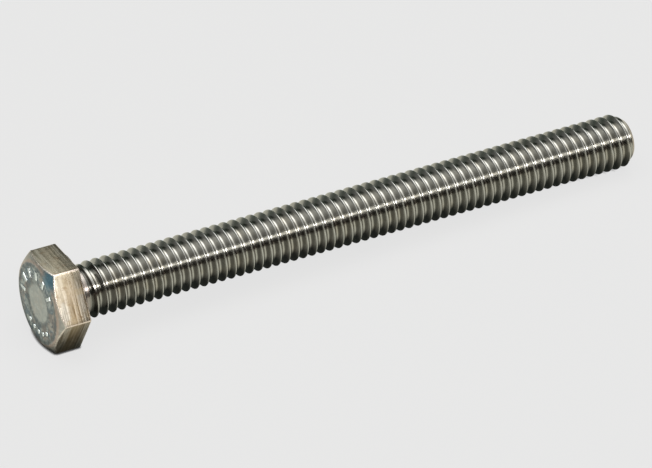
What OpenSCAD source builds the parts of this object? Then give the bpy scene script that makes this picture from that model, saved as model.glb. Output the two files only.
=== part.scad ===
// Hex bolt, threaded along its whole length. The shank runs along +X from the bearing face at X = 0,
// and the head lies on the -X side, with one flat of the hexagon facing up.

/* [Head] */
// Across flats, the size that a wrench grips
across_flats = 12.7; // [10.4:0.1:18]
// Height of the head, from the bearing face to the top
head_h = 4.9; // [3.5:0.1:8]
// How far the edge of the flat circle on top lies inside the flats
top_inset = 0.45; // [0.1:0.05:0.9]
// Angle of the chamfer, measured from the top face
chamfer_angle = 30; // [20:1:40]
// Radius of the rounded rim between the chamfer and the top face
rim_r = 0.6; // [0.2:0.05:1.2]
// Width of the small bevel along the lower edges of the flats
edge_break = 0.2; // [0.1:0.05:0.5]
// Depth of the shallow dish in the top face
dish_depth = 0.15; // [0.05:0.01:0.5]

/* [Marks] */
// How far the outer ends of the bars lie inside the flat circle on top
marks_inset = 0.9; // [0.4:0.1:1.1]
// Space between the inner ends of the bars and the dish
marks_gap = 0.6; // [0.1:0.1:1]
// Height of the marks above the top face
marks_h = 0.12; // [0.05:0.01:0.3]
// Length of a bar, along the radius
bar_len = 1.3; // [0.8:0.1:1.6]
// Width of a bar
bar_w = 0.5; // [0.3:0.05:0.8]
// Bars in the upper row
bar_count = 6; // [2:1:7]
// Angle between neighbouring bars
bar_step = 28; // [20:1:30]
// Angle from straight up to the middle of the row of bars
bar_middle = -17; // [-20:1:20]
// Diameter of a round pip
pip_d = 0.7; // [0.4:0.05:0.9]
// Pips in the lower row
pip_count = 5; // [2:1:6]
// Angle between neighbouring pips
pip_step = 18; // [15:1:20]
// Angle from straight down to the middle of the row of pips
pip_middle = -4; // [-10:1:10]

/* [Bearing face] */
// How far the edge of the washer face lies inside the flats
washer_inset = 0.3; // [0.05:0.05:0.3]
// Thickness of the washer face
washer_t = 0.25; // [0.1:0.05:0.6]
// Radius of the fillet between the neck and the head
fillet_r = 0.5; // [0.2:0.05:0.8]

/* [Shank] */
// Length from the bearing face to the end
shank_len = 88.4; // [30:0.1:105]
// How much thicker the plain neck is than the pitch diameter of the thread
neck_allowance = 0.04; // [-0.2:0.01:0.3]
// Length of the plain neck under the head
neck_len = 1.5; // [1:0.1:4]
// Length over which the thread rises to its full height
runout_len = 1.2; // [0.6:0.1:3]

/* [Thread] */
// Major diameter, over the crests
major_d = 7.93; // [6.6:0.01:9.5]
// Distance from one crest to the next
pitch = 1.4111; // [1.2:0.0001:1.8]
// Angle between the two sides of the thread
thread_angle = 60; // [50:1:72]
// Turn of the whole thread about the axis
thread_phase = -100.5; // [-180:0.5:180]

/* [Point] */
// Length of the chamfer at the end
point_len = 1.3; // [0.6:0.1:2.5]
// How far the edge of the flat end face lies inside the root of the thread
point_inset = 0.15; // [0:0.05:0.6]

/* [Hidden] */
steel = [0.72, 0.70, 0.66];
steel_warm = [0.66, 0.60, 0.50];
steel_grey = [0.56, 0.57, 0.56];
steel_bright = [0.82, 0.81, 0.78];
round_fn = 96;
rim_steps = 4;
margin = 1;

// Straight steps that one turn of the thread is made of
turn_steps = 16;
step_angle = 360 / turn_steps;
// Height of the sharp V that the thread is cut from, and the share of it cut off at the crest and at the root
sharp_h = pitch / 2 / tan(thread_angle / 2);
crest_cut = 1 / 8;
root_cut = 1 / 6;
major_r = major_d / 2;
root_r = major_r - (1 - crest_cut - root_cut) * sharp_h;
sharp_crest_r = major_r + crest_cut * sharp_h;
sharp_root_r = root_r - root_cut * sharp_h;
// Halfway up the sharp V the ridges and the grooves are equally wide
pitch_r = (sharp_crest_r + sharp_root_r) / 2;

neck_r = pitch_r + neck_allowance / 2;
foot_r = neck_r + fillet_r;
thread_start = neck_len + runout_len;
point_start = shank_len - point_len;
point_r = root_r - point_inset;

flat_r = across_flats / 2;
corner_r = flat_r / cos(30);
washer_r = flat_r - washer_inset;
top_r = flat_r - top_inset;
top_x = -head_h;
hex_h = head_h - washer_t;
chamfer_h = (corner_r - top_r) * tan(chamfer_angle);
marks_r = top_r - marks_inset - bar_len / 2;
dish_r = marks_r - bar_len / 2 - marks_gap;

// Turns a profile of [radius, place along the axis] about the X axis
module turned() {
    rotate([0, 90, 0])
        rotate_extrude($fn = round_fn)
            children();
}

module hex_prism() {
    translate([top_x, 0, 0])
        rotate([0, 90, 0])
            rotate([0, 0, 90])
                cylinder(h = hex_h, r = corner_r, $fn = 6);
}

// Chamfered blank of the head, with its rim rounded where the cone meets the top face
module head_blank() {
    rim_back = rim_r * tan(chamfer_angle / 2);
    turned()
        polygon([
            [0, top_x],
            [top_r - rim_back, top_x],
            for (i = [1:rim_steps])
                let (a = chamfer_angle * i / rim_steps)
                    [top_r - rim_back + rim_r * sin(a), top_x + rim_r * (1 - cos(a))],
            [corner_r + margin, top_x + chamfer_h + margin * tan(chamfer_angle)],
            [corner_r + margin, 0],
            [0, 0]
        ]);
}

// Cuts the lower edges of the flats at 45 degrees
module lower_edge_cuts() {
    side = edge_break * sqrt(2);
    for (i = [0:5])
        rotate([60 * i, 0, 0])
            translate([-washer_t, 0, flat_r])
                rotate([0, 45, 0])
                    cube([side, corner_r * 2, side], center = true);
}

// Shallow dish in the top face, with a wall that slopes at 45 degrees
module dish_cut() {
    turned()
        polygon([
            [0, top_x - margin],
            [dish_r + margin, top_x - margin],
            [dish_r - dish_depth, top_x + dish_depth],
            [0, top_x + dish_depth]
        ]);
}

module hex_head() {
    color(steel_warm)
        difference() {
            intersection() {
                hex_prism();
                head_blank();
            }
            lower_edge_cuts();
            dish_cut();
        }
}

// A row of raised marks on the top face, all pointing at the axis
module row_of_marks(count, step, middle) {
    for (i = [0:count - 1])
        rotate([middle + (i - (count - 1) / 2) * step, 0, 0])
            translate([top_x - marks_h, 0, marks_r])
                children();
}

module head_marks() {
    color(steel_bright) {
        row_of_marks(bar_count, bar_step, bar_middle)
            translate([0, -bar_w / 2, -bar_len / 2])
                cube([marks_h, bar_w, bar_len]);
        row_of_marks(pip_count, pip_step, 180 + pip_middle)
            rotate([0, 90, 0])
                cylinder(h = marks_h, r = pip_d / 2, $fn = round_fn / 2);
    }
}

module washer_face() {
    color(steel_grey)
        translate([-washer_t, 0, 0])
            rotate([0, 90, 0])
                difference() {
                    cylinder(h = washer_t, r = washer_r, $fn = round_fn);
                    translate([0, 0, -margin])
                        cylinder(h = washer_t + 2 * margin, r = foot_r, $fn = round_fn);
                }
}

module neck() {
    color(steel_grey)
        turned()
            difference() {
                union() {
                    translate([0, -washer_t])
                        square([foot_r, washer_t + fillet_r]);
                    square([neck_r, neck_len]);
                }
                translate([foot_r, fillet_r])
                    circle(r = fillet_r, $fn = round_fn);
            }
}

// A point on a helix of radius r, i steps from the start, moved along the axis by shift
function helix(r, i, shift) = [
    pitch * i / turn_steps + shift,
    r * cos(i * step_angle + thread_phase),
    r * sin(i * step_angle + thread_phase)
];

// Sharp V screw from turn first to turn last. Row A is the crest and row V the valley that follows it.
module sharp_screw(first, last) {
    a = first * turn_steps;
    b = last * turn_steps;
    n = b - a;
    crest = [for (i = [a:b + turn_steps]) helix(sharp_crest_r, i, 0)];
    valley = [for (i = [a:b]) helix(sharp_root_r, i, pitch / 2)];
    v = len(crest);
    ends = v + len(valley);
    axis_points = [[pitch * first, 0, 0], [pitch * (last + 1), 0, 0]];
    down = [for (i = [0:n - 1]) each [[i, v + i, i + 1], [i + 1, v + i, v + i + 1]]];
    up = [
        for (i = [0:n - 1], k = [i + turn_steps])
            each [[v + i, k, v + i + 1], [v + i + 1, k, k + 1]]
    ];
    start_cap = [
        for (i = [0:turn_steps - 1]) [ends, i, i + 1],
        [ends, v, 0],
        [ends, turn_steps, v]
    ];
    end_cap = [
        for (i = [n:n + turn_steps - 1]) [ends + 1, i + 1, i],
        [ends + 1, n, v + n],
        [ends + 1, v + n, n + turn_steps]
    ];
    polyhedron(
        points = concat(crest, valley, axis_points),
        faces = concat(down, up, start_cap, end_cap),
        convexity = 10
    );
}

// Thread between two places on the axis: the screw and a round core, inside a turned envelope
module thread_between(from_x, to_x, core, envelope) {
    intersection() {
        turned()
            polygon(envelope);
        union() {
            sharp_screw(floor(from_x / pitch) - 2, ceil(to_x / pitch) + 1);
            turned()
                polygon(core);
        }
    }
}

module thread_runout() {
    color(steel)
        thread_between(
            neck_len,
            thread_start,
            [[0, neck_len], [neck_r, neck_len], [root_r, thread_start], [0, thread_start]],
            [[0, neck_len], [neck_r, neck_len], [major_r, thread_start], [0, thread_start]]
        );
}

module threaded_shank() {
    color(steel)
        thread_between(
            thread_start,
            point_start,
            [[0, thread_start], [root_r, thread_start], [root_r, point_start], [0, point_start]],
            [[0, thread_start], [major_r, thread_start], [major_r, point_start], [0, point_start]]
        );
}

module point() {
    color(steel_bright)
        thread_between(
            point_start,
            shank_len,
            [[0, point_start], [root_r, point_start], [root_r, shank_len], [0, shank_len]],
            [[0, point_start], [major_r, point_start], [point_r, shank_len], [0, shank_len]]
        );
}

hex_head();
head_marks();
washer_face();
neck();
thread_runout();
threaded_shank();
point();
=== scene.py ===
import math

import bmesh
import bpy
from mathutils import Matrix, Quaternion, Vector


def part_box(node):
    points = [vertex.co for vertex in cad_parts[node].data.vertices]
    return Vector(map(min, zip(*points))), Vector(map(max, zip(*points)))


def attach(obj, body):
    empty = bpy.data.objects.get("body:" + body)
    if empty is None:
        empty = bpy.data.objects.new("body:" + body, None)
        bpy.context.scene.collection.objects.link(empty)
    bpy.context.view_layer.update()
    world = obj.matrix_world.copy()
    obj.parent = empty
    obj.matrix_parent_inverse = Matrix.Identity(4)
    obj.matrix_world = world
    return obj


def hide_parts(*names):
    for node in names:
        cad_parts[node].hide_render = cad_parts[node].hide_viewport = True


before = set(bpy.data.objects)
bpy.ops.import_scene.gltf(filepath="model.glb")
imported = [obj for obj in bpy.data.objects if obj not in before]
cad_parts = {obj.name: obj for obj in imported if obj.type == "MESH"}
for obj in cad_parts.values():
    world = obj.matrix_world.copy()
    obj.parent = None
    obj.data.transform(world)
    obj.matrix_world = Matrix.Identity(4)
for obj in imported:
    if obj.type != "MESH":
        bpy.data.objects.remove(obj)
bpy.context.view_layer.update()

MM = 0.001

# ---------------------------------------------------------------------------
# Sizes, in metres. The bolt lies along +X: head top on the left, point on the right.
# ---------------------------------------------------------------------------

head_lo, head_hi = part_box("hex_head")
washer_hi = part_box("washer_face")[1]
neck_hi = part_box("neck")[1]
runout_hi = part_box("thread_runout")[1]
shank_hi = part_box("threaded_shank")[1]
point_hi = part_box("point")[1]
marks_lo, marks_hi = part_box("head_marks")

TOP_X = head_lo.x
SEAT_X = head_hi.x
FLAT_R = head_hi.z
CORNER_R = head_hi.y
WASHER_R = washer_hi.z
NECK_END_X = neck_hi.x
THREAD_START_X = runout_hi.x
POINT_START_X = shank_hi.x
END_X = point_hi.x
MAJOR_R = shank_hi.z

# Head
CHAMFER_ANGLE = math.radians(30)
TOP_INSET = 0.45 * MM
RIM_R = 0.9 * MM
EDGE_R = 0.14 * MM
DISH_DEPTH = 0.15 * MM
MARKS_INSET = 0.9 * MM
MARKS_GAP = 0.6 * MM
BAR_LEN = 1.3 * MM
BAR_W = 0.5 * MM
PIP_R = 0.35 * MM
BARS = dict(count=6, step=28, middle=-17)
PIPS = dict(count=5, step=18, middle=176)

# Neck and thread
FILLET_R = 0.5 * MM
PITCH = 25.4 / 18 * MM
THREAD_ANGLE = math.radians(60)
THREAD_PHASE = math.radians(-100.5)
NECK_ALLOWANCE = 0.04 * MM
POINT_INSET = 0.15 * MM
CREST_CUT = 0.07
ROOT_CUT = 0.22

SHARP_H = PITCH / 2 / math.tan(THREAD_ANGLE / 2)
ROOT_R = MAJOR_R - (1 - CREST_CUT - ROOT_CUT) * SHARP_H
NECK_R = neck_hi.z - FILLET_R
FOOT_R = NECK_R + FILLET_R
POINT_R = ROOT_R - POINT_INSET
TOP_R = FLAT_R - TOP_INSET
MARKS_R = TOP_R - MARKS_INSET - BAR_LEN / 2
DISH_R = MARKS_R - BAR_LEN / 2 - MARKS_GAP

# How finely the round shapes are cut
TURN_STEPS = 72
ROUND_STEPS = 144

X_AXIS = Vector((1, 0, 0))
EDGE_BAND = "edge_band"


# ---------------------------------------------------------------------------
# Mesh tools
# ---------------------------------------------------------------------------

def arc(centre, radius, start, end, steps):
    """Points of an arc in a profile. A profile point is (place along the axis, radius from the axis)."""
    angles = [math.radians(start + (end - start) * i / steps) for i in range(steps + 1)]
    return [(centre[0] + radius * math.cos(a), centre[1] + radius * math.sin(a)) for a in angles]


def draw_profile(bm, points, closed=False):
    """Draws a profile as a line of edges in the X-Z half plane."""
    verts = [bm.verts.new((x, 0, r)) for x, r in points]
    edges = [bm.edges.new(pair) for pair in zip(verts, verts[1:])]
    if closed:
        edges.append(bm.edges.new((verts[-1], verts[0])))
    return verts + edges


def lathe(points, closed=False, steps=ROUND_STEPS):
    """Turns a profile about the bolt's axis into a closed solid."""
    bm = bmesh.new()
    geom = draw_profile(bm, points, closed)
    bmesh.ops.spin(bm, geom=geom, cent=(0, 0, 0), axis=X_AXIS, dvec=(0, 0, 0),
                   angle=math.tau, steps=steps, use_merge=True)
    tidy(bm)
    return bm


def tidy(bm, distance=0.002 * MM):
    bmesh.ops.remove_doubles(bm, verts=bm.verts, dist=distance)
    bmesh.ops.recalc_face_normals(bm, faces=bm.faces)


def cut_and_cap(bm, spot, normal):
    """Cuts away what lies beyond a plane and closes the cut with a flat face."""
    geom = bm.verts[:] + bm.edges[:] + bm.faces[:]
    cut = bmesh.ops.bisect_plane(bm, geom=geom, dist=1e-8, plane_co=spot, plane_no=normal,
                                 clear_outer=True)
    edges = [e for e in cut["geom_cut"] if isinstance(e, bmesh.types.BMEdge)]
    bmesh.ops.edgeloop_fill(bm, edges=edges)


def round_off(bm, edges, radius, segments):
    """Rounds edges and marks the new faces as an edge band, which the materials paint bright as worn edges with a
    painted sheen.
    """
    made = bmesh.ops.bevel(bm, geom=edges, offset=radius, offset_type="OFFSET", segments=segments,
                           profile=0.5, affect="EDGES", material=-1, clamp_overlap=True)
    band = bm.faces.layers.float[EDGE_BAND]
    for face in made["faces"]:
        face[band] = 1


def as_piece(bm, name, smooth_angle=35):
    """Makes an object of a mesh, smooth where its faces meet at less than an angle."""
    bmesh.ops.recalc_face_normals(bm, faces=bm.faces)
    for face in bm.faces:
        face.smooth = True
    for edge in bm.edges:
        if len(edge.link_faces) == 2:
            edge.smooth = edge.calc_face_angle() < math.radians(smooth_angle)
    mesh = bpy.data.meshes.new(name)
    bm.to_mesh(mesh)
    bm.free()
    piece = bpy.data.objects.new(name, mesh)
    bpy.context.scene.collection.objects.link(piece)
    return piece


def combined(bm, other, operation):
    """Unites or intersects two closed solids and returns the result."""
    base, tool = as_piece(bm, "base"), as_piece(other, "tool")
    boolean = base.modifiers.new("cut", "BOOLEAN")
    boolean.operation = operation
    boolean.solver = "EXACT"
    boolean.object = tool
    result = bmesh.new()
    result.from_object(base, bpy.context.evaluated_depsgraph_get())
    for used in (base, tool):
        bpy.data.objects.remove(used)
    tidy(result)
    return result


# ---------------------------------------------------------------------------
# Head
# ---------------------------------------------------------------------------

def head_blank():
    """Round blank of the head: dished top, rounded rim and a 30 degree cone."""
    rim_back = RIM_R * math.tan(CHAMFER_ANGLE / 2)
    rim_centre = (TOP_X + RIM_R, TOP_R - rim_back)
    outer_r = CORNER_R + 1 * MM
    cone_x = TOP_X + (outer_r - TOP_R) * math.tan(CHAMFER_ANGLE)
    soft = 0.25 * MM
    profile = [(TOP_X + DISH_DEPTH, 0), (TOP_X + DISH_DEPTH, DISH_R * 0.5)]
    profile += [(TOP_X + DISH_DEPTH, DISH_R - 2 * soft), (TOP_X + DISH_DEPTH * 0.85, DISH_R - soft)]
    profile += [(TOP_X + DISH_DEPTH * 0.15, DISH_R), (TOP_X, DISH_R + soft)]
    profile += [(TOP_X, MARKS_R)]
    profile += arc(rim_centre, RIM_R, 180, 180 - math.degrees(CHAMFER_ANGLE), 6)
    profile += [(cone_x, outer_r), (SEAT_X, outer_r), (SEAT_X, 0)]
    return lathe(profile)


def hex_head():
    bm = head_blank()
    bm.faces.layers.float.new(EDGE_BAND)
    for side in range(6):
        turn = Matrix.Rotation(math.radians(60 * side), 3, "X")
        normal = turn @ Vector((0, 0, 1))
        cut_and_cap(bm, normal * FLAT_R, normal)
    bm.normal_update()
    sharp = [e for e in bm.edges if len(e.link_faces) == 2
             and e.calc_face_angle() > math.radians(40)]
    round_off(bm, sharp, EDGE_R, 3)
    tidy(bm)
    return as_piece(bm, "head")


def head_marks():
    """Raised bars and round pips on the top face, each with its upper edges rounded."""
    bm = bmesh.new()
    bm.faces.layers.float.new(EDGE_BAND)
    height = (marks_hi.x - marks_lo.x) + 0.06 * MM
    middle_x = marks_lo.x + height / 2

    def place(verts, row, index):
        angle = row["middle"] + (index - (row["count"] - 1) / 2) * row["step"]
        put = Matrix.Rotation(math.radians(angle), 4, "X") @ Matrix.Translation((middle_x, 0, MARKS_R))
        bmesh.ops.transform(bm, matrix=put, verts=verts)

    def round_edges(verts, radius):
        top = [e for v in verts for e in v.link_edges
               if all(w.co.x < 0 for w in e.verts)]
        round_off(bm, list(set(top)), radius, 3)

    def island(seed):
        found, front = set(seed), list(seed)
        while front:
            v = front.pop()
            for e in v.link_edges:
                w = e.other_vert(v)
                if w not in found:
                    found.add(w)
                    front.append(w)
        return list(found)

    for i in range(BARS["count"]):
        made = bmesh.ops.create_cube(bm, size=1)["verts"]
        bmesh.ops.scale(bm, vec=(height, BAR_W, BAR_LEN), verts=made)
        seed = [v for v in made if v.co.x > 0]
        round_edges(made, 0.11 * MM)
        place(island(seed), BARS, i)
    for i in range(PIPS["count"]):
        made = bmesh.ops.create_cone(bm, cap_ends=True, segments=20, radius1=PIP_R, radius2=PIP_R,
                                     depth=height, matrix=Matrix.Rotation(math.pi / 2, 4, "Y"))["verts"]
        seed = [v for v in made if v.co.x > 0]
        round_edges(made, 0.11 * MM)
        place(island(seed), PIPS, i)
    tidy(bm)
    return as_piece(bm, "head_marks_raised")


def washer_face():
    soft = 0.06 * MM
    profile = [(SEAT_X, FOOT_R), (SEAT_X, WASHER_R)]
    profile += arc((-soft, WASHER_R - soft), soft, 90, 0, 3)
    profile += [(0, FOOT_R)]
    return as_piece(lathe(profile, closed=True), "bearing_ring")


def neck():
    profile = [(SEAT_X, 0), (SEAT_X, FOOT_R), (0, FOOT_R)]
    profile += arc((FILLET_R, FOOT_R), FILLET_R, 180, 270, 8)[1:]
    profile += [(NECK_END_X, NECK_R), (NECK_END_X, 0)]
    return as_piece(lathe(profile), "plain_neck")


# ---------------------------------------------------------------------------
# Thread
# ---------------------------------------------------------------------------

def ridge_profile():
    """One pitch of the rolled thread, from one valley to the next: round root, flank and round crest."""
    crest_r = CREST_CUT * SHARP_H
    root_r = ROOT_CUT * SHARP_H
    half = PITCH / 2
    left_root = arc((-half, ROOT_R + root_r), root_r, 270, 330, 4)
    crest = arc((0, MAJOR_R - crest_r), crest_r, 150, 30, 6)
    right_root = arc((half, ROOT_R + root_r), root_r, 210, 270, 4)
    return left_root + crest + right_root


def crest_x(turn):
    """Where a turn of the crest crosses the X-Z plane, above the axis."""
    return PITCH * (turn + (math.radians(90) - THREAD_PHASE) / math.tau)


def screw_surface(from_x, to_x):
    """The helical surface that covers a stretch of the axis, open at both ends."""
    bm = bmesh.new()
    first = math.floor(from_x / PITCH) - 3
    turns = math.ceil((to_x - from_x) / PITCH) + 4
    start = crest_x(first)
    geom = draw_profile(bm, [(x + start, r) for x, r in ridge_profile()])
    bmesh.ops.spin(bm, geom=geom, cent=(0, 0, 0), axis=X_AXIS, angle=math.tau, steps=TURN_STEPS,
                   dvec=(PITCH / TURN_STEPS, 0, 0), use_merge=False)
    one_turn = bm.verts[:] + bm.edges[:] + bm.faces[:]
    for turn in range(1, turns):
        copy = bmesh.ops.duplicate(bm, geom=one_turn)["geom"]
        verts = [v for v in copy if isinstance(v, bmesh.types.BMVert)]
        bmesh.ops.translate(bm, vec=(PITCH * turn, 0, 0), verts=verts)
    bmesh.ops.remove_doubles(bm, verts=bm.verts, dist=0.002 * MM)
    return bm


def screw_solid(from_x, to_x):
    bm = screw_surface(from_x, to_x)
    cut_and_cap(bm, (from_x, 0, 0), -X_AXIS)
    cut_and_cap(bm, (to_x, 0, 0), X_AXIS)
    tidy(bm)
    return bm


def cone(from_x, from_r, to_x, to_r):
    return lathe([(from_x, 0), (from_x, from_r), (to_x, to_r), (to_x, 0)])


def threaded_shank():
    return as_piece(screw_solid(THREAD_START_X, POINT_START_X), "thread")


def thread_runout():
    """The thread fades into the neck: a cone under the crests and a cone through the roots."""
    spare = 0.4 * MM
    slope = (NECK_R - ROOT_R) / (THREAD_START_X - NECK_END_X)
    core = cone(NECK_END_X - 2 * spare, NECK_R + 2 * spare * slope,
                THREAD_START_X + 2 * spare, ROOT_R - 2 * spare * slope)
    cover = cone(NECK_END_X, NECK_R, THREAD_START_X, MAJOR_R)
    screw = screw_solid(NECK_END_X - spare, THREAD_START_X + spare)
    return as_piece(combined(combined(screw, core, "UNION"), cover, "INTERSECT"), "thread_start")


def point():
    """The end of the thread, with a cone cut over it and a flat end face."""
    spare = 0.4 * MM
    slope = (MAJOR_R - POINT_R) / (END_X - POINT_START_X)
    cover = cone(POINT_START_X - spare, MAJOR_R + spare * slope, END_X, POINT_R)
    screw = screw_solid(POINT_START_X, END_X + spare)
    return as_piece(combined(screw, cover, "INTERSECT"), "chamfered_point")


# ---------------------------------------------------------------------------
# Node tools
# ---------------------------------------------------------------------------

def place(tree, kind, inputs=None, **settings):
    """Adds a node, sets its options and fills its inputs with values or with other nodes' outputs."""
    made = tree.nodes.new("ShaderNode" + kind)
    for name, value in settings.items():
        setattr(made, name, value)
    for key, value in (inputs or {}).items():
        if isinstance(value, bpy.types.NodeSocket):
            tree.links.new(value, made.inputs[key])
        else:
            made.inputs[key].default_value = value
    return made


def maths(tree, operation, *values):
    return place(tree, "Math", dict(enumerate(values)), operation=operation).outputs[0]


def fade(tree, value, start, end, low=0.0, high=1.0):
    """A soft step from low to high while a value goes from start to end."""
    return place(tree, "MapRange", {"Value": value, "From Min": start, "From Max": end,
                                    "To Min": low, "To Max": high},
                 interpolation_type="SMOOTHSTEP").outputs["Result"]


def blend(tree, amount, under, over, blend_type="MIX"):
    return place(tree, "Mix", {0: amount, 6: under, 7: over}, data_type="RGBA",
                 blend_type=blend_type).outputs[2]


def new_group(name, inputs, outputs):
    """Starts a shared effect. Inputs are (name, kind, usual value); outputs are (name, kind)."""
    group = bpy.data.node_groups.new(name, "ShaderNodeTree")
    for label, kind, usual in inputs:
        socket = group.interface.new_socket(name=label, in_out="INPUT", socket_type="NodeSocket" + kind)
        if usual is not None:
            socket.default_value = usual
    for label, kind in outputs:
        group.interface.new_socket(name=label, in_out="OUTPUT", socket_type="NodeSocket" + kind)
    return group, group.nodes.new("NodeGroupInput").outputs, group.nodes.new("NodeGroupOutput").inputs


# ---------------------------------------------------------------------------
# Shared effects
# ---------------------------------------------------------------------------

def make_grain():
    """Fine tool lines. The place is stretched by each material the way its tool ran."""
    group, use, give = new_group("tool_lines", [("Place", "Vector", None), ("Fineness", "Float", 3000.0),
                                                ("Contrast", "Float", 1.5)], [("Lines", "Float")])
    noise = place(group, "TexNoise", {"Vector": use["Place"], "Scale": use["Fineness"],
                                      "Detail": 5.0, "Roughness": 0.65})
    centred = maths(group, "SUBTRACT", noise.outputs["Fac"], 0.5)
    spread = place(group, "Math", {0: centred, 1: use["Contrast"], 2: 0.5},
                   operation="MULTIPLY_ADD", use_clamp=True)
    group.links.new(spread.outputs[0], give["Lines"])
    return group


def make_tarnish():
    """Cloudy patches where the surface has darkened or coloured."""
    group, use, give = new_group("tarnish", [("Place", "Vector", None), ("Closeness", "Float", 500.0),
                                             ("Start", "Float", 0.5), ("Full", "Float", 0.65)],
                                 [("Patches", "Float")])
    noise = place(group, "TexNoise", {"Vector": use["Place"], "Scale": use["Closeness"],
                                      "Detail": 4.0, "Roughness": 0.6, "Distortion": 0.7})
    patches = fade(group, noise.outputs["Fac"], use["Start"], use["Full"])
    group.links.new(patches, give["Patches"])
    return group


def make_edge_wear_and_sheen():
    """Worn edges with a painted sheen: the rounded band itself, and a broken strip beside it, both painted
    bright.
    """
    group, use, give = new_group("edge_wear_and_sheen", [("Width", "Float", 0.0003), ("Strength", "Float", 12.0)],
                                 [("WearAndSheen", "Float")])
    rounded = place(group, "Bevel", {"Radius": use["Width"]}, samples=6)
    true = place(group, "NewGeometry")
    same = place(group, "VectorMath", {0: rounded.outputs[0], 1: true.outputs["Normal"]},
                 operation="DOT_PRODUCT").outputs["Value"]
    beside = maths(group, "MULTIPLY", maths(group, "SUBTRACT", 1.0, same), use["Strength"])
    band = place(group, "Attribute", attribute_name=EDGE_BAND).outputs["Fac"]
    spots = place(group, "TexNoise", {"Vector": place(group, "TexCoord").outputs["Object"],
                                      "Scale": 1500.0, "Detail": 3.0})
    uneven = fade(group, spots.outputs["Fac"], 0.35, 0.6, 0.3, 1.0)
    edge = maths(group, "MAXIMUM", maths(group, "MULTIPLY", beside, uneven),
                 maths(group, "MULTIPLY", band, fade(group, spots.outputs["Fac"], 0.3, 0.55, 0.6, 1.0)))
    wear_and_sheen = place(group, "Math", {0: edge, 1: 1.0}, operation="MINIMUM")
    group.links.new(wear_and_sheen.outputs[0], give["WearAndSheen"])
    return group


def make_dirt_and_shade_in_hollows():
    """Dirt and painted shade in grooves and inner corners: darker where the surroundings close in."""
    group, use, give = new_group("dirt_and_shade_in_hollows", [("Reach", "Float", 0.0008), ("Start", "Float", 0.75),
                                           ("Full", "Float", 0.35)], [("DirtAndShade", "Float")])
    open_sky = place(group, "AmbientOcclusion", {"Distance": use["Reach"]}, samples=6)
    dirt_and_shade = fade(group, open_sky.outputs["AO"], use["Start"], use["Full"])
    group.links.new(dirt_and_shade, give["DirtAndShade"])
    return group


GRAIN = make_grain()
TARNISH = make_tarnish()
EDGE_WEAR_AND_SHEEN = make_edge_wear_and_sheen()
DIRT_AND_SHADE_IN_HOLLOWS = make_dirt_and_shade_in_hollows()


# ---------------------------------------------------------------------------
# Materials
# ---------------------------------------------------------------------------

class Steel:
    """A metal under construction: its tree, its place on the piece and its shader."""

    def __init__(self, name, stretch=(1, 1, 1)):
        self.material = bpy.data.materials.new(name)
        self.material.use_nodes = True
        self.tree = self.material.node_tree
        self.shader = self.tree.nodes["Principled BSDF"]
        self.shader.inputs["Metallic"].default_value = 1
        self.place = place(self.tree, "TexCoord").outputs["Object"]
        self.along_tool = place(self.tree, "Mapping", {"Vector": self.place, "Scale": stretch}).outputs[0]
        split = place(self.tree, "SeparateXYZ", {"Vector": self.place}).outputs
        self.x = split["X"]
        self.radius = maths(self.tree, "SQRT", maths(self.tree, "ADD", maths(self.tree, "POWER", split["Y"], 2.0),
                                                     maths(self.tree, "POWER", split["Z"], 2.0)))

    def grain(self, fineness, contrast=1.5, where=None):
        return place(self.tree, "Group", {"Place": where or self.along_tool, "Fineness": fineness,
                                          "Contrast": contrast}, node_tree=GRAIN).outputs["Lines"]

    def tarnish(self, closeness, start, full, where=None):
        return place(self.tree, "Group", {"Place": where or self.place, "Closeness": closeness, "Start": start,
                                          "Full": full}, node_tree=TARNISH).outputs["Patches"]

    # Worn edges with a painted sheen.
    def edge_wear_and_sheen(self, width, strength):
        return place(self.tree, "Group", {"Width": width, "Strength": strength},
                     node_tree=EDGE_WEAR_AND_SHEEN).outputs["WearAndSheen"]

    # Dirt and painted shade where the surroundings close in.
    def dirt_and_shade_in_hollows(self, reach, start, full):
        return place(self.tree, "Group", {"Reach": reach, "Start": start, "Full": full},
                     node_tree=DIRT_AND_SHADE_IN_HOLLOWS).outputs["DirtAndShade"]

    def near(self, spot, inner, outer):
        """One where the surface is within the inner distance of a spot, and nothing past the outer one."""
        away = place(self.tree, "VectorMath", {0: self.place, 1: spot}, operation="DISTANCE")
        return fade(self.tree, away.outputs["Value"], inner, outer, 1.0, 0.0)

    def finish(self, colour, roughness, height, depth):
        bump = place(self.tree, "Bump", {"Height": height, "Distance": depth, "Strength": 1.0})
        self.tree.links.new(colour, self.shader.inputs["Base Color"])
        self.tree.links.new(roughness, self.shader.inputs["Roughness"])
        self.tree.links.new(bump.outputs[0], self.shader.inputs["Normal"])
        return self.material


def colour(red, green, blue):
    return (red, green, blue, 1)


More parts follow.
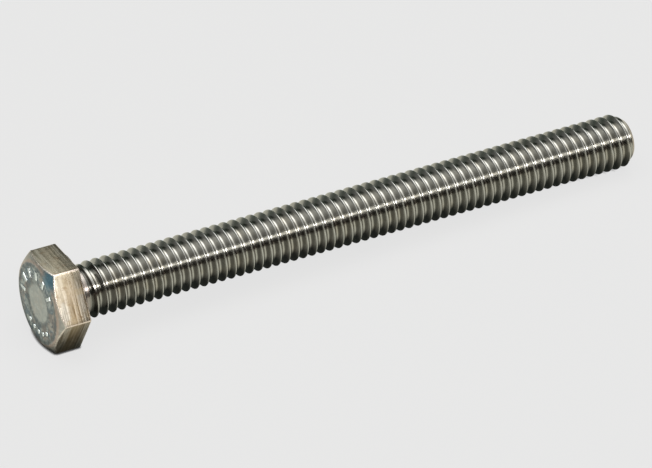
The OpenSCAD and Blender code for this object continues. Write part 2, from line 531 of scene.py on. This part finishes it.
def sheared_flats():
    """The six sides: warm steel with tool lines that run around the head, and bright worn edges with a painted
    sheen.
    """
    steel = Steel("sheared_flats", stretch=(1, 0.04, 0.04))
    tree = steel.tree
    bands = steel.grain(1100.0, 2.6)
    lines = steel.grain(3200.0, 2.4)
    fine = steel.grain(9000.0, 2.0)
    patches = steel.tarnish(380.0, 0.45, 0.6)
    spots = steel.tarnish(1500.0, 0.55, 0.68)
    # Worn edges with a painted sheen, in a pale pink.
    wear_and_sheen = steel.edge_wear_and_sheen(0.3 * MM, 7.0)
    upper_stain = steel.near(((TOP_X + SEAT_X) / 2, 0, FLAT_R), 2.5 * MM, 6 * MM)
    mixed = maths(tree, "MULTIPLY_ADD", bands, 0.5, maths(tree, "MULTIPLY", lines, 0.5))
    both = place(tree, "Math", {0: mixed, 1: 2.7, 2: -0.83}, operation="MULTIPLY_ADD",
                 use_clamp=True).outputs[0]
    waist = maths(tree, "MULTIPLY", fade(tree, steel.x, TOP_X + 1.3 * MM, TOP_X + 2.1 * MM),
                  fade(tree, steel.x, SEAT_X - 0.5 * MM, SEAT_X - 1.8 * MM))
    skin = blend(tree, both, colour(0.12, 0.09, 0.05), colour(0.74, 0.70, 0.62))
    skin = blend(tree, maths(tree, "MULTIPLY", waist, 0.6), skin, colour(0.35, 0.25, 0.135))
    skin = blend(tree, maths(tree, "MULTIPLY", patches, 0.45), skin, colour(0.38, 0.30, 0.19))
    skin = blend(tree, maths(tree, "MULTIPLY", upper_stain, 0.75), skin, colour(0.37, 0.34, 0.265))
    skin = blend(tree, maths(tree, "MULTIPLY", spots, 0.45), skin, colour(0.22, 0.14, 0.08))
    skin = blend(tree, maths(tree, "MULTIPLY", wear_and_sheen, 0.8), skin, colour(0.80, 0.69, 0.62))
    rough = maths(tree, "MULTIPLY_ADD", both, 0.1, 0.33)
    rough = maths(tree, "MULTIPLY_ADD", patches, 0.05, rough)
    rough = maths(tree, "MULTIPLY_ADD", wear_and_sheen, -0.04, rough)
    height = maths(tree, "MULTIPLY_ADD", fine, 0.4, lines)
    return steel.finish(skin, rough, height, 0.014 * MM)


def stamped_top():
    """The top: cool grey, mottled brown and blue, with a lighter flat in the middle, a ring of painted shade
    round it, dirt and painted shade round the marks, and worn edges with a painted sheen.
    """
    steel = Steel("stamped_top")
    tree = steel.tree
    mottle = steel.tarnish(850.0, 0.44, 0.57)
    stains = steel.tarnish(520.0, 0.5, 0.6)
    shadows = steel.tarnish(1400.0, 0.5, 0.62)
    pits = steel.grain(3500.0, 1.6, steel.place)
    scratches = steel.grain(7000.0, 2.0)
    wear_and_sheen = steel.edge_wear_and_sheen(0.35 * MM, 7.0)
    # Dirt and painted shade round the marks and in the dish.
    dirt_and_shade = steel.dirt_and_shade_in_hollows(0.7 * MM, 0.8, 0.4)
    middle = fade(tree, steel.radius, DISH_R - 0.7 * MM, DISH_R + 0.2 * MM, 1.0, 0.0)
    # Painted shade: a darker ring round the edge of the dished middle.
    ring = maths(tree, "MULTIPLY", fade(tree, steel.radius, DISH_R - 0.5 * MM, DISH_R),
                 fade(tree, steel.radius, DISH_R + 0.1 * MM, DISH_R + 0.9 * MM, 1.0, 0.0))
    bloom = steel.near((TOP_X + 0.8 * MM, -3.5 * MM, 5.7 * MM), 0.8 * MM, 2.5 * MM)
    edge_cone = fade(tree, steel.radius, TOP_R - 0.1 * MM, TOP_R + 0.3 * MM)
    rim = maths(tree, "MULTIPLY", fade(tree, steel.radius, TOP_R - 0.2 * MM, TOP_R + 0.1 * MM),
                fade(tree, steel.radius, TOP_R + 0.2 * MM, TOP_R + 0.5 * MM, 1.0, 0.25))
    rim_line = maths(tree, "MULTIPLY", fade(tree, steel.radius, TOP_R - 0.8 * MM, TOP_R - 0.45 * MM),
                     fade(tree, steel.radius, TOP_R - 0.3 * MM, TOP_R, 1.0, 0.0))
    # Painted shade: a near-black outline tight at the feet of the marks.
    mark_outline_shade = steel.dirt_and_shade_in_hollows(0.3 * MM, 0.97, 0.8)
    skin = blend(tree, mottle, colour(0.10, 0.14, 0.17), colour(0.30, 0.335, 0.34))
    skin = blend(tree, maths(tree, "MULTIPLY", stains, 0.5), skin, colour(0.26, 0.19, 0.15))
    skin = blend(tree, maths(tree, "MULTIPLY", shadows, 0.7), skin, colour(0.06, 0.08, 0.10))
    skin = blend(tree, maths(tree, "MULTIPLY", middle, 0.66), skin, colour(0.46, 0.475, 0.46))
    skin = blend(tree, maths(tree, "MULTIPLY", edge_cone, 0.55), skin, colour(0.44, 0.44, 0.405))
    skin = blend(tree, maths(tree, "MULTIPLY", ring, 0.5), skin, colour(0.10, 0.115, 0.12))
    skin = blend(tree, maths(tree, "MULTIPLY", rim_line, 0.55), skin, colour(0.06, 0.07, 0.07))
    skin = blend(tree, maths(tree, "MULTIPLY", rim, 0.6), skin, colour(0.44, 0.33, 0.28))
    skin = blend(tree, maths(tree, "MULTIPLY", bloom, 0.85), skin, colour(0.08, 0.20, 0.28))
    skin = blend(tree, maths(tree, "MULTIPLY", dirt_and_shade, 0.7), skin, colour(0.10, 0.085, 0.07))
    skin = blend(tree, maths(tree, "MULTIPLY", mark_outline_shade, 0.85), skin, colour(0.035, 0.035, 0.035))
    skin = blend(tree, maths(tree, "MULTIPLY", wear_and_sheen, 0.8), skin, colour(0.75, 0.68, 0.60))
    rough = maths(tree, "MULTIPLY_ADD", pits, 0.18, 0.30)
    rough = maths(tree, "MULTIPLY_ADD", middle, 0.1, rough)
    rough = maths(tree, "MULTIPLY_ADD", dirt_and_shade, 0.15, rough)
    rough = maths(tree, "MULTIPLY_ADD", wear_and_sheen, -0.1, rough)
    height = maths(tree, "MULTIPLY_ADD", scratches, 0.3, maths(tree, "ADD", pits, mottle))
    return steel.finish(skin, rough, height, 0.02 * MM)


def raised_marks():
    """The struck marks: the same skin, rubbed bright on top with a painted blue-white glint, and with dirt and
    painted shade at their feet.
    """
    steel = Steel("rubbed_marks_painted_glint")
    tree = steel.tree
    pits = steel.grain(4000.0, 1.6, steel.place)
    wear_and_sheen = steel.edge_wear_and_sheen(0.12 * MM, 5.0)
    dirt_and_shade = steel.dirt_and_shade_in_hollows(0.3 * MM, 0.8, 0.4)
    skin = blend(tree, pits, colour(0.30, 0.35, 0.38), colour(0.56, 0.61, 0.63))
    skin = blend(tree, maths(tree, "MULTIPLY", dirt_and_shade, 0.7), skin, colour(0.10, 0.09, 0.08))
    # Painted glint: the worn tops go blue-white.
    skin = blend(tree, wear_and_sheen, skin, colour(0.88, 0.94, 0.96))
    rough = maths(tree, "MULTIPLY_ADD", pits, 0.15, 0.2)
    return steel.finish(skin, rough, pits, 0.015 * MM)


def turned_seat():
    """The neck and the bearing ring: bright, with fine rings left by the turning tool, and dirt and painted shade
    in the corner under the head.
    """
    steel = Steel("turned_seat")
    tree = steel.tree
    across = place(tree, "CombineXYZ", {"X": steel.x, "Y": steel.radius}).outputs[0]
    rings = steel.grain(6000.0, 2.0, across)
    patches = steel.tarnish(500.0, 0.5, 0.65)
    # Dirt and painted shade, strong, in the gap between head and thread.
    dirt_and_shade = steel.dirt_and_shade_in_hollows(0.8 * MM, 0.75, 0.35)
    skin = blend(tree, rings, colour(0.19, 0.175, 0.16), colour(0.36, 0.33, 0.305))
    skin = blend(tree, maths(tree, "MULTIPLY", patches, 0.5), skin, colour(0.40, 0.31, 0.27))
    skin = blend(tree, maths(tree, "MULTIPLY", dirt_and_shade, 0.8), skin, colour(0.07, 0.06, 0.055))
    rough = maths(tree, "MULTIPLY_ADD", rings, 0.08, 0.2)
    return steel.finish(skin, rough, rings, 0.004 * MM)


def rolled_thread():
    """The thread: smooth rolled steel with faint lines along the ridge, a little dirt and painted shade in the
    roots, painted shade on the flanks and a painted highlight on the crests.
    """
    steel = Steel("rolled_thread", stretch=(1, 0.06, 0.06))
    tree = steel.tree
    lines = steel.grain(5200.0, 2.0)
    flow = steel.grain(1500.0, 1.6, steel.place)
    patches = steel.tarnish(260.0, 0.48, 0.66)
    # Dirt and painted shade in the roots.
    dirt_and_shade = steel.dirt_and_shade_in_hollows(0.6 * MM, 0.62, 0.25)
    # Painted highlight: the crests are coloured lighter. Painted shade: the flanks are coloured darker.
    crest = fade(tree, steel.radius, MAJOR_R - 0.14 * MM, MAJOR_R)
    flank = maths(tree, "MULTIPLY", fade(tree, steel.radius, ROOT_R + 0.08 * MM, ROOT_R + 0.25 * MM),
                  fade(tree, steel.radius, MAJOR_R - 0.06 * MM, MAJOR_R - 0.2 * MM))
    skin = blend(tree, lines, colour(0.30, 0.295, 0.275), colour(0.39, 0.385, 0.36))
    skin = blend(tree, maths(tree, "MULTIPLY", patches, 0.35), skin, colour(0.33, 0.295, 0.23))
    skin = blend(tree, maths(tree, "MULTIPLY", dirt_and_shade, 0.12), skin, colour(0.16, 0.14, 0.10))
    skin = blend(tree, maths(tree, "MULTIPLY", flank, 0.55), skin, colour(0.20, 0.20, 0.19))
    skin = blend(tree, maths(tree, "MULTIPLY", crest, 0.35), skin, colour(0.55, 0.56, 0.56))
    rough = maths(tree, "MULTIPLY_ADD", lines, 0.05, 0.14)
    rough = maths(tree, "MULTIPLY_ADD", flow, 0.04, rough)
    rough = maths(tree, "MULTIPLY_ADD", dirt_and_shade, 0.02, rough)
    height = maths(tree, "MULTIPLY_ADD", lines, 0.25, flow)
    return steel.finish(skin, rough, height, 0.004 * MM)


def cut_point():
    """The point: the thread's steel with a browner skin on the cut end."""
    steel = Steel("cut_point", stretch=(1, 0.06, 0.06))
    tree = steel.tree
    lines = steel.grain(5200.0, 2.0)
    flow = steel.grain(1500.0, 1.6, steel.place)
    # Dirt and painted shade in the roots, and worn edges with a painted sheen.
    dirt_and_shade = steel.dirt_and_shade_in_hollows(0.6 * MM, 0.62, 0.25)
    end = fade(tree, steel.x, END_X - 0.5 * MM, END_X - 0.05 * MM)
    wear_and_sheen = steel.edge_wear_and_sheen(0.12 * MM, 4.0)
    skin = blend(tree, lines, colour(0.30, 0.295, 0.275), colour(0.39, 0.385, 0.36))
    skin = blend(tree, maths(tree, "MULTIPLY", dirt_and_shade, 0.12), skin, colour(0.16, 0.14, 0.10))
    skin = blend(tree, maths(tree, "MULTIPLY", end, 0.7), skin, colour(0.34, 0.25, 0.19))
    skin = blend(tree, maths(tree, "MULTIPLY", wear_and_sheen, 0.6), skin, colour(0.80, 0.74, 0.68))
    rough = maths(tree, "MULTIPLY_ADD", lines, 0.08, 0.19)
    rough = maths(tree, "MULTIPLY_ADD", end, 0.12, rough)
    height = maths(tree, "MULTIPLY_ADD", lines, 0.25, flow)
    return steel.finish(skin, rough, height, 0.004 * MM)


# ---------------------------------------------------------------------------
# Floor, light and camera
# ---------------------------------------------------------------------------

# The bolt lies on the lower edge of its head and on the far end of the thread, so the floor slopes
FLOOR_REST_X = SEAT_X - 0.2 * MM
FLOOR_SLOPE = math.atan((FLAT_R - MAJOR_R) / (POINT_START_X - FLOOR_REST_X))
BOLT_MIDDLE = Vector(((TOP_X + END_X) / 2, 0, 0))

PALE = 0.777
TABLE_IN_STEEL = colour(0.98, 0.97, 0.83)
SHADE_IN_STEEL = colour(0.035, 0.04, 0.035)

# What the steel sees around the bolt's axis: degrees from overhead (front below nought), and light
STUDIO = [
    (-90, (0.15, 0.10, 0.06)),
    (-82, (0.04, 0.028, 0.018)),
    (-67, (0.04, 0.028, 0.018)),
    (-60, (0.50, 0.49, 0.45)),
    (-40, (0.95, 0.95, 0.91)),
    (-27, (1.20, 1.20, 1.15)),
    (-12, (2.30, 2.30, 2.22)),
    (2, (3.70, 3.70, 3.60)),
    (19, (3.50, 3.50, 3.40)),
    (33, (1.50, 1.52, 1.46)),
    (44, (0.22, 0.25, 0.22)),
    (53, (0.06, 0.08, 0.064)),
    (68, (0.06, 0.08, 0.064)),
    (80, (0.16, 0.19, 0.16)),
    (90, (0.36, 0.38, 0.35)),
]
BRIGHTEST = 3.7
BEYOND_THE_ENDS = colour(0.34, 0.345, 0.33)


def floor_material():
    """A pale tabletop. Polished steel mirrors it darker, and darkest close under the bolt, where a shadow is
    painted into what the steel mirrors. A painted contact shadow darkens the table where the bolt closes in on
    it.
    """
    material = bpy.data.materials.new("pale_table")
    material.use_nodes = True
    tree = material.node_tree
    tree.nodes.clear()
    spot = place(tree, "TexCoord").outputs["Object"]
    split = place(tree, "SeparateXYZ", {"Vector": spot}).outputs
    # Painted shadow under the shank and the head, seen only in the steel's reflections.
    beside_shank = fade(tree, maths(tree, "ABSOLUTE", split["Y"]), 1.8 * MM, 7.5 * MM)
    past_point = fade(tree, split["X"], END_X - 2 * MM, END_X + 4 * MM)
    before_head = fade(tree, split["X"], TOP_X + 0.5 * MM, TOP_X - 2 * MM)
    clear_of_shank = maths(tree, "MAXIMUM", beside_shank, maths(tree, "MAXIMUM", past_point, before_head))
    head_middle = ((TOP_X + SEAT_X) / 2, 0, -FLAT_R)
    from_head = place(tree, "VectorMath", {0: spot, 1: head_middle}, operation="DISTANCE").outputs["Value"]
    clear_of_head = maths(tree, "MAXIMUM", fade(tree, from_head, 4 * MM, 12 * MM), before_head)
    clear = maths(tree, "MINIMUM", clear_of_shank, clear_of_head)
    mirrored_with_painted_shadow = place(tree, "Emission", {"Color": blend(tree, clear, SHADE_IN_STEEL, TABLE_IN_STEEL)})
    # Painted contact shadow on the table where the bolt closes in on it.
    gap = place(tree, "AmbientOcclusion", {"Distance": 0.5 * MM}, samples=8)
    contact_shadow = fade(tree, gap.outputs["AO"], 0.3, 0.85)
    pale = blend(tree, contact_shadow, colour(0.04, 0.04, 0.04), colour(PALE, PALE, PALE))
    lit = place(tree, "BsdfDiffuse", {"Color": pale})
    glow = place(tree, "Emission", {"Color": pale})
    seen = place(tree, "MixShader", {0: 0.94, 1: lit.outputs[0], 2: glow.outputs[0]})
    is_seen = place(tree, "LightPath").outputs["Is Camera Ray"]
    both = place(tree, "MixShader", {0: is_seen, 1: mirrored_with_painted_shadow.outputs[0], 2: seen.outputs[0]})
    place(tree, "OutputMaterial", {"Surface": both.outputs[0]})
    return material


def floor():
    bm = bmesh.new()
    bmesh.ops.create_grid(bm, x_segments=1, y_segments=1, size=3)
    tilt = Matrix.Rotation(-FLOOR_SLOPE, 4, "Y")
    bmesh.ops.transform(bm, matrix=Matrix.Translation((FLOOR_REST_X, 0, -FLAT_R)) @ tilt, verts=bm.verts)
    piece = as_piece(bm, "table")
    piece.data.materials.append(floor_material())
    return piece


def soft_box(name, direction, distance, size, brightness, tint):
    """A rectangular lamp that faces the bolt. Brightness is what a mirror would show."""
    lamp = bpy.data.lights.new(name, "AREA")
    lamp.shape = "RECTANGLE"
    lamp.size, lamp.size_y = size
    lamp.energy = brightness * math.pi * size[0] * size[1]
    lamp.color = tint
    box = bpy.data.objects.new(name, lamp)
    aim = Vector(direction).normalized()
    box.location = BOLT_MIDDLE + aim * distance
    across = X_AXIS - aim * X_AXIS.dot(aim)
    across.normalize()
    box.rotation_euler = Matrix((across, aim.cross(across), aim)).transposed().to_euler()
    box.visible_camera = False
    bpy.context.scene.collection.objects.link(box)
    return box


def studio_walls():
    """A soft overhead light, dark surroundings low in front and behind, and grey past both ends."""
    sky = bpy.data.worlds.new("studio")
    sky.use_nodes = True
    tree = sky.node_tree
    split = place(tree, "SeparateXYZ", {"Vector": place(tree, "TexCoord").outputs["Generated"]}).outputs
    around = maths(tree, "DEGREES", maths(tree, "ARCTAN2", split["Y"], split["Z"]))
    along_ramp = place(tree, "MapRange", {"Value": around, "From Min": -90.0, "From Max": 90.0})
    ramp = place(tree, "ValToRGB", {"Fac": along_ramp.outputs["Result"]})
    stops = ramp.color_ramp.elements
    stops.remove(stops[1])
    for i, (angle, light) in enumerate(STUDIO):
        stop = stops[0] if i == 0 else stops.new((angle + 90) / 180)
        stop.position = (angle + 90) / 180
        stop.color = colour(*[part / BRIGHTEST for part in light])
    panels = blend(tree, 1.0, ramp.outputs["Color"], colour(BRIGHTEST, BRIGHTEST, BRIGHTEST), "MULTIPLY")
    beyond_lamps = fade(tree, split["X"], 0.415, 0.51, 0.0, 0.8)
    panels = blend(tree, beyond_lamps, panels, colour(0.05, 0.05, 0.05))
    endwards = maths(tree, "MAXIMUM", fade(tree, split["X"], 0.78, 0.96), fade(tree, split["X"], -0.55, -0.8))
    seen_in_steel = blend(tree, endwards, panels, BEYOND_THE_ENDS)
    is_seen = place(tree, "LightPath").outputs["Is Camera Ray"]
    tree.links.new(blend(tree, is_seen, seen_in_steel, colour(PALE, PALE, PALE)),
                   tree.nodes["Background"].inputs["Color"])
    bpy.context.scene.world = sky


def camera():
    lens = bpy.data.cameras.new("camera")
    lens.lens = 304
    lens.sensor_width = 36
    lens.clip_start, lens.clip_end = 0.05, 20
    eye = bpy.data.objects.new("camera", lens)
    spot = Vector((-0.27356, -0.57257, 0.40674))
    aim = Vector((0.03839, -0.00274, 0.00006))
    roll = Quaternion((0, 0, 1), math.radians(0.43))
    eye.rotation_mode = "QUATERNION"
    eye.location = spot
    eye.rotation_quaternion = (aim - spot).to_track_quat("-Z", "Y") @ roll
    bpy.context.scene.collection.objects.link(eye)
    bpy.context.scene.camera = eye


# ---------------------------------------------------------------------------
# The scene
# ---------------------------------------------------------------------------

camera()
floor()
studio_walls()
soft_box("front_strip", (0.025, -0.783, 0.6225), 2.0, (1.95, 0.24), 16, (1, 0.98, 0.95))

bpy.context.scene.view_settings.view_transform = "Standard"

top_skin, side_skin = stamped_top(), sheared_flats()
seat_skin, thread_skin = turned_seat(), rolled_thread()

PIECES = [
    (hex_head, "hex_head", "head", (side_skin, top_skin, seat_skin)),
    (head_marks, "head_marks", "marks", (raised_marks(),)),
    (washer_face, "washer_face", "bearing", (seat_skin,)),
    (neck, "neck", "bearing", (seat_skin,)),
    (thread_runout, "thread_runout", "thread", (thread_skin,)),
    (threaded_shank, "threaded_shank", "thread", (thread_skin,)),
    (point, "point", "thread", (cut_point(),)),
]

for make, node, slot, skins in PIECES:
    piece = make()
    for skin in skins:
        piece.data.materials.append(skin)
    if make is hex_head:
        for face in piece.data.polygons:
            if face.normal.x < -0.25:
                face.material_index = 1
            elif face.normal.x > 0.9:
                face.material_index = 2
    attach(piece, "root")
    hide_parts(node)
